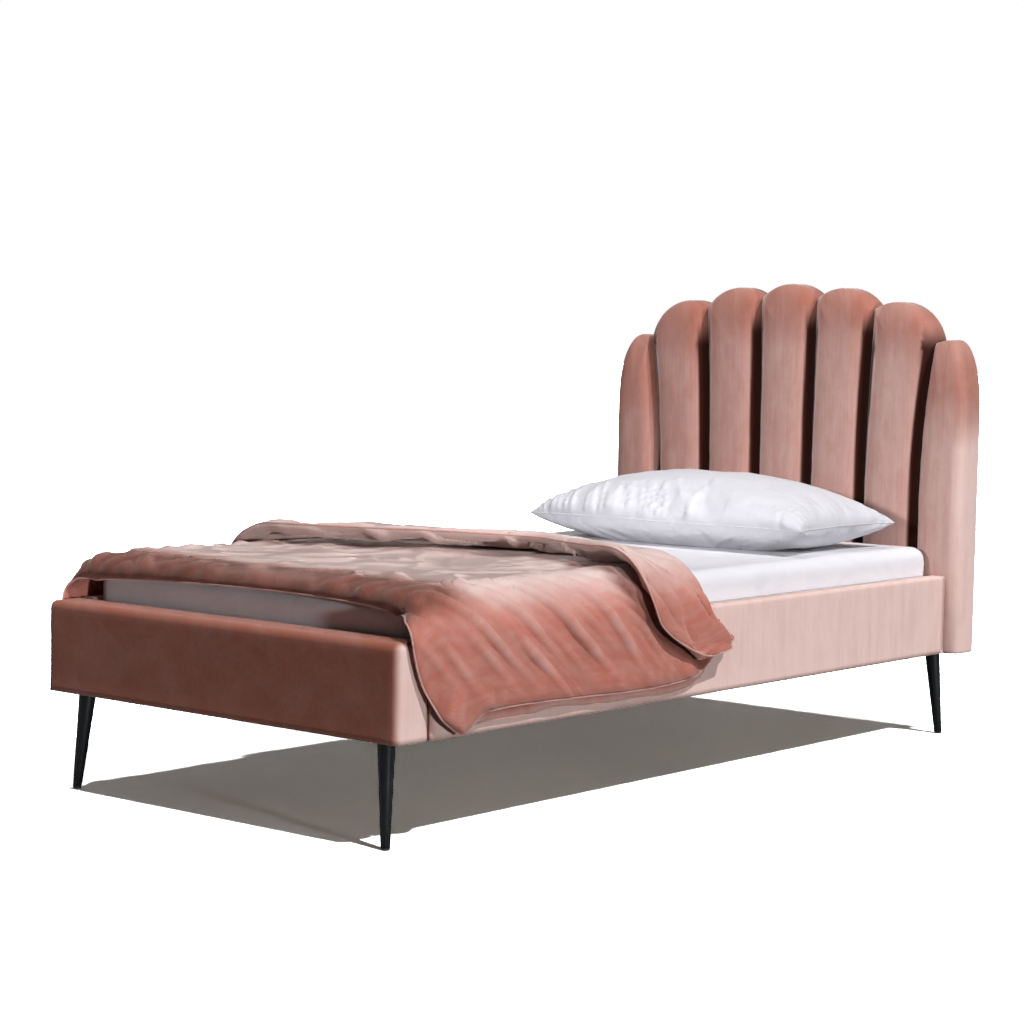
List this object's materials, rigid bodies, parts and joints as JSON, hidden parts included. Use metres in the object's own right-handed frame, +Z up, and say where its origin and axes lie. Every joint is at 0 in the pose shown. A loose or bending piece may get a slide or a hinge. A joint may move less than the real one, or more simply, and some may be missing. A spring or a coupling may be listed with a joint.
{
  "type": "upholstered headboard bed",
  "caption": "Low single bed with a scalloped, vertically channelled velvet headboard, padded rails and footboard, tapered legs, mattress, pillow and duvet.",
  "frame": {"origin": "on the floor, under the centre of the bed's overall box", "axes": "+Z up, +Y from the footboard to the headboard, +X to the right seen from the foot"},
  "size_m": [1.07, 2.092, 1.118],
  "materials": {
    "rose_velvet": "matte velvet pile",
    "duvet_velvet": "crushed matte velvet",
    "white_cotton": "matte woven cotton",
    "ticking": "matte woven ticking",
    "pine": "planed, unfinished",
    "plywood": "sanded",
    "birch": "satin lacquer",
    "dust_cloth": "matte spunbond",
    "black_lacquer": "satin black lacquer",
    "zinc": "zinc plated",
    "black_plastic": "matte",
    "webbing": "woven tape"
  },
  "bodies": {
    "bed": {"headboard_channel_1": "rose_velvet", "headboard_channel_2": "rose_velvet", "headboard_channel_3": "rose_velvet", "headboard_channel_4": "rose_velvet", "headboard_channel_5": "rose_velvet", "headboard_channel_6": "rose_velvet", "headboard_channel_7": "rose_velvet", "headboard_front_panel": "plywood", "headboard_rear_panel": "plywood", "headboard_dust_cover": "dust_cloth", "headboard_base_rail": "pine", "headboard_bolt_left": "zinc", "headboard_bolt_right": "zinc", "leg_front_left": "black_lacquer", "leg_plate_front_left": "zinc", "leg_glide_front_left": "black_plastic", "leg_front_right": "black_lacquer", "leg_plate_front_right": "zinc", "leg_glide_front_right": "black_plastic", "leg_rear_left": "black_lacquer", "leg_plate_rear_left": "zinc", "leg_glide_rear_left": "black_plastic", "leg_rear_right": "black_lacquer", "leg_plate_rear_right": "zinc", "leg_glide_rear_right": "black_plastic", "footboard_frame": "pine", "footboard_cover": "rose_velvet", "side_rail_board_left": "pine", "side_rail_cover_left": "rose_velvet", "slat_ledge_left": "pine", "corner_bracket_front_left": "zinc", "bracket_bolt_front_left": "zinc", "corner_bracket_rear_left": "zinc", "bracket_bolt_rear_left": "zinc", "side_rail_board_right": "pine", "side_rail_cover_right": "rose_velvet", "slat_ledge_right": "pine", "corner_bracket_front_right": "zinc", "bracket_bolt_front_right": "zinc", "corner_bracket_rear_right": "zinc", "bracket_bolt_rear_right": "zinc", "slat_01": "birch", "slat_02": "birch", "slat_03": "birch", "slat_04": "birch", "slat_05": "birch", "slat_06": "birch", "slat_07": "birch", "slat_08": "birch", "slat_09": "birch", "slat_10": "birch", "slat_11": "birch", "slat_12": "birch", "slat_13": "birch", "slat_tape_left": "webbing", "slat_tape_right": "webbing"},
    "mattress": {"mattress": "ticking", "fitted_sheet": "white_cotton"},
    "pillow": {"pillow": "white_cotton"},
    "duvet": {"duvet": "duvet_velvet"}
  },
  "joints": [
    {"name": "mattress_lift", "type": "slide", "parent": "bed", "child": "mattress", "axis": [0, 0, 1], "range_m": [0, 0.3]},
    {"name": "pillow_lift", "type": "slide", "parent": "mattress", "child": "pillow", "axis": [0, 0, 1], "range_m": [0, 0.3]},
    {"name": "duvet_lift", "type": "slide", "parent": "mattress", "child": "duvet", "axis": [0, 0, 1], "range_m": [0, 0.3]}
  ]
}
